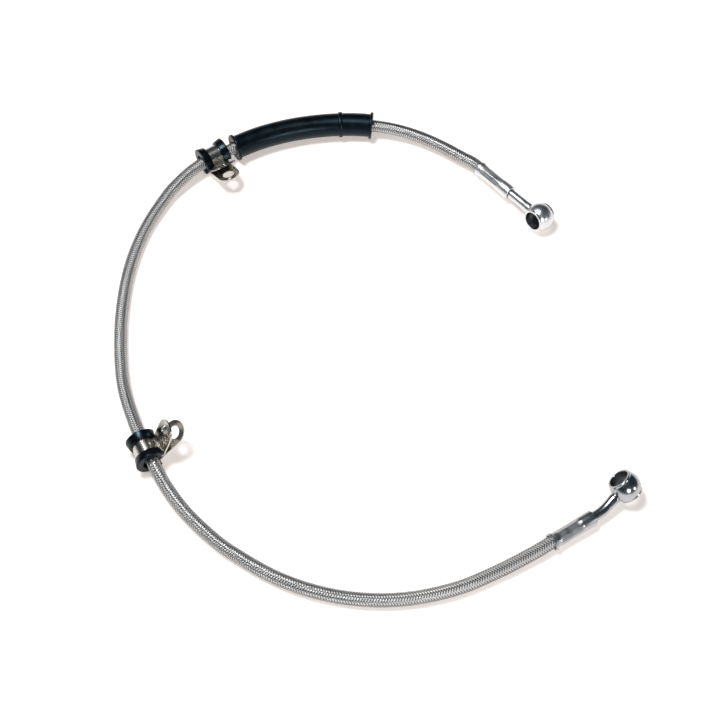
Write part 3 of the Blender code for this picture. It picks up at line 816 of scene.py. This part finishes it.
class BRAKELINE_OT_fittings(bpy.types.Operator):
    """Adds the two crimped ferrules with their banjo fittings"""
    bl_idname = "brakeline.fittings"
    bl_label = "Banjo fittings"

    def execute(self, context):
        settings = context.scene.brakeline_fitting
        colours = {"upper": settings.upper_colour, "lower": settings.lower_shaded_colour}
        # Painted shade: a dark grey for the wall inside each eye's bore
        bore = plating_material("bore_painted_shade", (0.16, 0.17, 0.18), roughness=0.42)
        for label, facts in FITTINGS.items():
            colour = tuple(colours[label])
            crimped = plating_material(label + "_ferrule_plating", colour,
                                       facts["ferrule_roughness"])
            polished = plating_material(label + "_banjo_plating", colour,
                                        facts["banjo_roughness"])
            add_ferrule(label, settings, crimped)
            add_banjo(label, settings, polished, bore)
        return {"FINISHED"}


# Sleeve

SLEEVE_BORE_RADIUS = 3.9 * MM
END_BEAD_WIDTH = 1.7 * MM
END_BEAD_HEIGHT = 1.2 * MM
MID_BEAD_WIDTH = 2.4 * MM
MID_BEAD_HEIGHT = 0.7 * MM
MID_BEAD_FROM_START = 18.2 * MM


def sleeve_sections(settings):
    """(distance, radius) from one end of the sleeve to the other and back through its bore."""
    body = SLEEVE_BORE_RADIUS + settings.wall
    start = settings.start
    end = start + settings.length
    middle = start + MID_BEAD_FROM_START
    outer = []

    def bead(centre, width, height, steps=10):
        for i in range(steps + 1):
            angle = math.pi * i / steps
            outer.append((centre - math.cos(angle) * width / 2,
                          body + height * math.sin(angle) ** 0.5))

    def plain(first, last):
        count = max(2, round((last - first) / (2 * MM)))
        for i in range(1, count):
            outer.append((first + (last - first) * i / count, body))

    bead(start + END_BEAD_WIDTH / 2, END_BEAD_WIDTH, END_BEAD_HEIGHT)
    plain(start + END_BEAD_WIDTH, middle - MID_BEAD_WIDTH / 2)
    bead(middle, MID_BEAD_WIDTH, MID_BEAD_HEIGHT)
    plain(middle + MID_BEAD_WIDTH / 2, end - END_BEAD_WIDTH)
    bead(end - END_BEAD_WIDTH / 2, END_BEAD_WIDTH, END_BEAD_HEIGHT)
    bore_steps = 36
    edge = 0.25 * MM
    bore = [(end, SLEEVE_BORE_RADIUS + edge)]
    for i in range(bore_steps + 1):
        share = i / bore_steps
        bore.append((end - edge - (settings.length - 2 * edge) * share, SLEEVE_BORE_RADIUS))
    bore.append((start, SLEEVE_BORE_RADIUS + edge))
    return outer + bore


class BRAKELINE_OT_sleeve(bpy.types.Operator):
    """Adds the rubber sleeve that protects the hose"""
    bl_idname = "brakeline.sleeve"
    bl_label = "Protective sleeve"

    def execute(self, context):
        settings = context.scene.brakeline_sleeve
        sections = sleeve_sections(settings)
        places = [HOSE.smooth_frame(distance) for distance, _ in sections]
        rings = [(i, radius) for i, (_, radius) in enumerate(sections)]
        shape = swept(places, rings, 64, closed=True)
        material = rubber_material("sleeve_rubber_satin", tuple(settings.colour), roughness=0.31)
        sleeve = add_piece("rubber_sleeve", shape, material, sharp=50.0)
        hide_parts("protective_sleeve")
        return {"FINISHED"}


# P-clips. In a clip's own frame the hose runs along Z, and the straight leg of the strap
# runs along +X, tangent to the ring at its lowest point.

CLIP_OFFSET = 0.5 * MM
CUSHION_BORE_RADIUS = 4.25 * MM
CUSHION_WALL = 0.7 * MM
CUSHION_LENGTH = 15.2 * MM
CHANNEL_GAP = 0.15 * MM
FLANGE_INSIDE = 1.0 * MM
FLANGE_OUTSIDE = 1.9 * MM
FLANGE_GRIP = 3.1 * MM
STRAP_BEND_RADIUS = 0.9 * MM
EAR_HOLE_REACH = 15.9 * MM
CUSHION_FIRST_ANGLE = -88.0
CUSHION_LAST_ANGLE = -15.0
STRAP_INNER_RADIUS = CUSHION_BORE_RADIUS + CUSHION_WALL + CHANNEL_GAP


def clip_place(label):
    """The clip's own frame. The clip hangs a little to one side of the hose."""
    hang = Matrix.Translation((-CLIP_OFFSET, 0.0, 0.0))
    turn = Matrix.Rotation(math.radians(CLIPS[label]["leg"]), 4, "Z")
    return HOSE.frame(CLIPS[label]["at"]) @ hang @ turn


def arc_points(centre, radius, first, last, steps):
    """Points on an arc between two angles in degrees."""
    angles = [math.radians(first + (last - first) * i / steps) for i in range(steps + 1)]
    return [Vector((centre.x + radius * math.cos(angle), centre.y + radius * math.sin(angle)))
            for angle in angles]


def ear_stations(reach, half):
    """Distances along the ear to its round tip, with half the width at each."""
    angles = [0, 8, 16, 24, 32, 40, 48, 56, 63, 70, 76, 81, 85, 88]
    rounding = [(reach + half * math.sin(math.radians(angle)),
                 half * math.cos(math.radians(angle))) for angle in angles]
    return [(reach * share, half) for share in (0.25, 0.5, 0.75)] + rounding


def strap_layout(settings):
    """Middle line of the strap with its half width, and the two ear holes with their headings."""
    radius = STRAP_INNER_RADIUS + settings.strap_thickness / 2
    half = settings.strap_width / 2
    spread_degrees = math.degrees(settings.ear_spread)
    clear_height = radius - settings.strap_thickness - CLEARANCE - STRAP_BEND_RADIUS
    leave = -math.asin(clear_height / (radius + STRAP_BEND_RADIUS))
    bend_centre = Vector((math.cos(leave), math.sin(leave))) * (radius + STRAP_BEND_RADIUS)
    leave_degrees = math.degrees(leave)
    ring = arc_points(Vector((0.0, 0.0)), radius, -90.0, leave_degrees - 360.0, 72)
    bend = arc_points(bend_centre, STRAP_BEND_RADIUS, leave_degrees + 180.0,
                      spread_degrees + 270.0, 14)
    heading = Vector((math.cos(settings.ear_spread), math.sin(settings.ear_spread)))

    leg_foot = Vector((0.0, -radius))
    leg = [(leg_foot + Vector((reach, 0.0)), width)
           for reach, width in ear_stations(EAR_HOLE_REACH, half)]
    ear_foot = bend[-1]
    ear_reach = EAR_HOLE_REACH - bend_centre.x
    ear = [(ear_foot + heading * reach, width) for reach, width in ear_stations(ear_reach, half)]
    line = leg[::-1] + [(point, half) for point in ring + bend[1:]] + ear
    leg_hole = leg_foot + Vector((EAR_HOLE_REACH, 0.0))
    ear_hole = ear_foot + heading * ear_reach
    return line, [(leg_hole, 0.0), (ear_hole, spread_degrees)]


def add_strap(label, settings, material):
    """A strip laid along its middle line, then thickened, drilled and broken at its edges."""
    line, holes = strap_layout(settings)
    place = clip_place(label)
    strip = bmesh.new()
    bmesh.ops.create_grid(strip, x_segments=len(line) - 1, y_segments=1, size=0.5)
    for corner in strip.verts:
        i = round((corner.co.x + 0.5) * (len(line) - 1))
        point, half = line[i]
        corner.co = place @ Vector((point.x, point.y, math.copysign(half, corner.co.y)))
    bmesh.ops.recalc_face_normals(strip, faces=strip.faces)
    strap = add_piece(label + "_clip_strap", strip, material)
    plate = strap.modifiers.new("thickness", "SOLIDIFY")
    plate.thickness = settings.strap_thickness
    plate.offset = 0.0
    plate.use_even_offset = True
    drills = []
    for number, (centre, turn) in enumerate(holes, start=1):
        stand = Matrix.Rotation(math.radians(turn), 4, "Z") @ Matrix.Rotation(math.pi / 2, 4, "X")
        drill = bmesh.new()
        bmesh.ops.create_cone(drill, cap_ends=True, segments=48, radius1=settings.hole / 2,
                              radius2=settings.hole / 2, depth=3 * settings.strap_thickness,
                              matrix=place @ Matrix.Translation((centre.x, centre.y, 0.0)) @ stand)
        drills.append(add_piece(f"{label}_drill_{number}", drill))
        add_boolean(strap, "DIFFERENCE", drills[-1])
    edges = strap.modifiers.new("edges", "BEVEL")
    edges.width = 0.15 * MM
    edges.segments = 2
    edges.limit_method = "ANGLE"
    edges.angle_limit = math.radians(50.0)
    apply_modifiers(strap, sharp=13.0)
    for drill in drills:
        bpy.data.objects.remove(drill)
    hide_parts(label + "_clip_band")


def cushion_outline(settings):
    """Section of the rubber channel at one side of the ring, as (radius, height) corners."""
    base = CUSHION_BORE_RADIUS + CUSHION_WALL
    end = CUSHION_LENGTH / 2
    slot = STRAP_INNER_RADIUS + settings.strap_thickness + CHANNEL_GAP
    slot_end = settings.strap_width / 2 + CHANNEL_GAP
    lip = slot_end - FLANGE_GRIP
    half = [
        (CUSHION_BORE_RADIUS, end, 0.3 * MM), (slot + FLANGE_OUTSIDE, end, 0.7 * MM),
        (slot + FLANGE_INSIDE, lip, 0.5 * MM), (slot, lip, 0.15 * MM),
        (slot, slot_end, 0.0), (base, slot_end, 0.0),
    ]
    mirrored = [(radius, -height, fillet) for radius, height, fillet in reversed(half)]
    return filleted(half + mirrored)


def add_cushion(label, settings, material):
    """The channel's section turned about the hose, open where the strap leaves the ring."""
    first = math.radians(CUSHION_FIRST_ANGLE)
    sweep = math.radians(CUSHION_LAST_ANGLE - 360.0) - first
    ring = bmesh.new()
    corners = [ring.verts.new((radius, 0.0, height))
               for radius, height in cushion_outline(settings)]
    section = ring.faces.new(corners)
    bmesh.ops.rotate(ring, verts=corners, cent=(0.0, 0.0, 0.0),
                     matrix=Matrix.Rotation(first, 3, "Z"))
    bmesh.ops.spin(ring, geom=[section] + list(section.edges) + corners, cent=(0.0, 0.0, 0.0),
                   axis=(0.0, 0.0, 1.0), angle=sweep, steps=72)
    bmesh.ops.recalc_face_normals(ring, faces=ring.faces)
    ring.transform(clip_place(label))
    cushion = add_piece(label + "_clip_lining", ring, material)
    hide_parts(label + "_clip_cushion")


class BRAKELINE_OT_clips(bpy.types.Operator):
    """Adds the two P-clips with their rubber linings"""
    bl_idname = "brakeline.clips"
    bl_label = "P-clips"

    def execute(self, context):
        settings = context.scene.brakeline_clip
        steel = plating_material("clip_steel_polished", tuple(settings.steel_colour),
                                 roughness=0.245, grain=0.0)
        rubber = rubber_material("clip_rubber_gloss", tuple(settings.rubber_colour),
                                 roughness=0.28)
        for label in CLIPS:
            add_strap(label, settings, steel)
            add_cushion(label, settings, rubber)
        return {"FINISHED"}


class BRAKELINE_OT_cords(bpy.types.Operator):
    """Samples points along the hose's middle line, and keeps nothing"""
    bl_idname = "brakeline.cords"
    bl_label = "Hose facts"

    def execute(self, context):
        count = 200
        path = [HOSE.at(HOSE.length * i / count)[0] for i in range(count + 1)]
        return {"FINISHED"}


# Stage

CAMERA_PLACE = (-0.004, -0.39723, 0.6165)
CAMERA_TARGET = (-0.004, -0.012, 0.0)
CAMERA_SENSOR = 36.0
# Name, place, size of the square lamp in metres, and power in watts
LAMPS = [
    ("key", (-0.3, 0.1, 1.04), 0.3, 11.0),
    ("front", (0.32, -0.75, 0.39), 0.2, 2.6),
    ("side", (0.76, -0.4, 0.24), 0.12, 0.5),
]
LAMP_COLOUR = (1.0, 0.99, 0.975)
FLOOR_GLOW = 0.44
FLOOR_GLOW_COLOUR = (1.0, 0.9, 0.85, 1.0)
# The world's colours, each with the height on the unit sphere where it begins or ends
HORIZON = (0.03, (0.52, 0.56, 0.6, 1.0))
OVERHEAD = (0.24, (0.034, 0.048, 0.062, 1.0))


def floor_material(colour):
    """Pale floor that looks white behind the object and keeps its shadow."""
    material, shader = new_material("studio_floor", colour, 0.9)
    shader.inputs["Specular IOR Level"].default_value = 0.0
    rays = add_node(material, "ShaderNodeLightPath")
    seen = maths(material, "MAXIMUM", rays.outputs["Is Camera Ray"], rays.outputs["Is Glossy Ray"])
    seen = maths(material, "MAXIMUM", seen, rays.outputs["Is Transmission Ray"])
    glow = maths(material, "MULTIPLY", seen, FLOOR_GLOW)
    shader.inputs["Emission Color"].default_value = FLOOR_GLOW_COLOUR
    link(material, glow, shader.inputs["Emission Strength"])
    return material


def add_lamp(name, place, size, power):
    """A square lamp that points at the middle of the part."""
    light = bpy.data.lights.new(name, "AREA")
    light.shape = "SQUARE"
    light.size = size
    light.energy = power
    light.color = LAMP_COLOUR
    lamp = bpy.data.objects.new(name, light)
    lamp.location = place
    lamp.rotation_euler = (-Vector(place)).to_track_quat("-Z", "Y").to_euler()
    bpy.context.scene.collection.objects.link(lamp)


def studio_world():
    """Pale near the horizon and darker overhead, as in a studio with white walls."""
    world = bpy.data.worlds.new("studio")
    world.use_nodes = True
    background = world.node_tree.nodes["Background"]
    coordinates = add_node(world, "ShaderNodeTexCoord")
    parts = add_node(world, "ShaderNodeSeparateXYZ")
    ramp = add_node(world, "ShaderNodeValToRGB")
    for element, (height, colour) in zip(ramp.color_ramp.elements, (HORIZON, OVERHEAD)):
        element.position = height
        element.color = colour
    link(world, coordinates.outputs["Generated"], parts.inputs["Vector"])
    link(world, parts.outputs["Z"], ramp.inputs["Fac"])
    link(world, ramp.outputs["Color"], background.inputs["Color"])
    background.inputs["Strength"].default_value = 1.0
    return world


class BRAKELINE_OT_stage(bpy.types.Operator):
    """Adds the pale floor, the studio light and the camera"""
    bl_idname = "brakeline.stage"
    bl_label = "Stage"

    def execute(self, context):
        settings = context.scene.brakeline_stage
        scene = context.scene
        scene.view_settings.view_transform = "Standard"
        scene.world = studio_world()

        shape = bmesh.new()
        bmesh.ops.create_grid(shape, x_segments=1, y_segments=1, size=settings.floor_size / 2,
                              matrix=Matrix.Translation((0.0, 0.0, min(CAD_LOW.z, 0.0))))
        mesh = bpy.data.meshes.new("floor")
        shape.to_mesh(mesh)
        shape.free()
        mesh.materials.append(floor_material(tuple(settings.floor_colour)))
        floor = bpy.data.objects.new("floor", mesh)
        scene.collection.objects.link(floor)

        for lamp in LAMPS:
            add_lamp(*lamp)

        camera = bpy.data.cameras.new("camera")
        camera.lens = settings.lens
        camera.sensor_width = CAMERA_SENSOR
        eye = bpy.data.objects.new("camera", camera)
        eye.location = CAMERA_PLACE
        look = Vector(CAMERA_TARGET) - Vector(CAMERA_PLACE)
        eye.rotation_euler = look.to_track_quat("-Z", "Y").to_euler()
        scene.collection.objects.link(eye)
        scene.camera = eye
        return {"FINISHED"}


class BRAKELINE_PT_panel(bpy.types.Panel):
    """Lists the brake line's pieces and their sizes"""
    bl_idname = "BRAKELINE_PT_panel"
    bl_label = "Brake Line"
    bl_space_type = "VIEW_3D"
    bl_region_type = "UI"
    bl_category = "Brake Line"

    def draw(self, context):
        for label, group, operator in PANEL_ROWS:
            box = self.layout.box()
            box.label(text=label)
            settings = getattr(context.scene, group)
            for key in settings.__annotations__:
                box.prop(settings, key)
            box.operator(operator)
        self.layout.operator("brakeline.cords")


PANEL_ROWS = [
    ("Hose", "brakeline_hose", "brakeline.hose"),
    ("Banjo fittings", "brakeline_fitting", "brakeline.fittings"),
    ("Sleeve", "brakeline_sleeve", "brakeline.sleeve"),
    ("P-clips", "brakeline_clip", "brakeline.clips"),
    ("Stage", "brakeline_stage", "brakeline.stage"),
]
GROUPS = {
    "brakeline_hose": HoseSettings,
    "brakeline_fitting": FittingSettings,
    "brakeline_sleeve": SleeveSettings,
    "brakeline_clip": ClipSettings,
    "brakeline_stage": StageSettings,
}
CLASSES = [
    HoseSettings, FittingSettings, SleeveSettings, ClipSettings, StageSettings,
    BRAKELINE_OT_hose, BRAKELINE_OT_fittings, BRAKELINE_OT_sleeve, BRAKELINE_OT_clips,
    BRAKELINE_OT_cords, BRAKELINE_OT_stage, BRAKELINE_PT_panel,
]


def register():
    for item in CLASSES:
        bpy.utils.register_class(item)
    for name, group in GROUPS.items():
        setattr(bpy.types.Scene, name, PointerProperty(type=group))


def unregister():
    for name in GROUPS:
        delattr(bpy.types.Scene, name)
    for item in reversed(CLASSES):
        bpy.utils.unregister_class(item)


def main():
    register()
    bpy.ops.brakeline.stage()
    bpy.ops.brakeline.hose()
    bpy.ops.brakeline.fittings()
    bpy.ops.brakeline.sleeve()
    bpy.ops.brakeline.clips()
    bpy.ops.brakeline.cords()


if __name__ == "__main__":
    main()
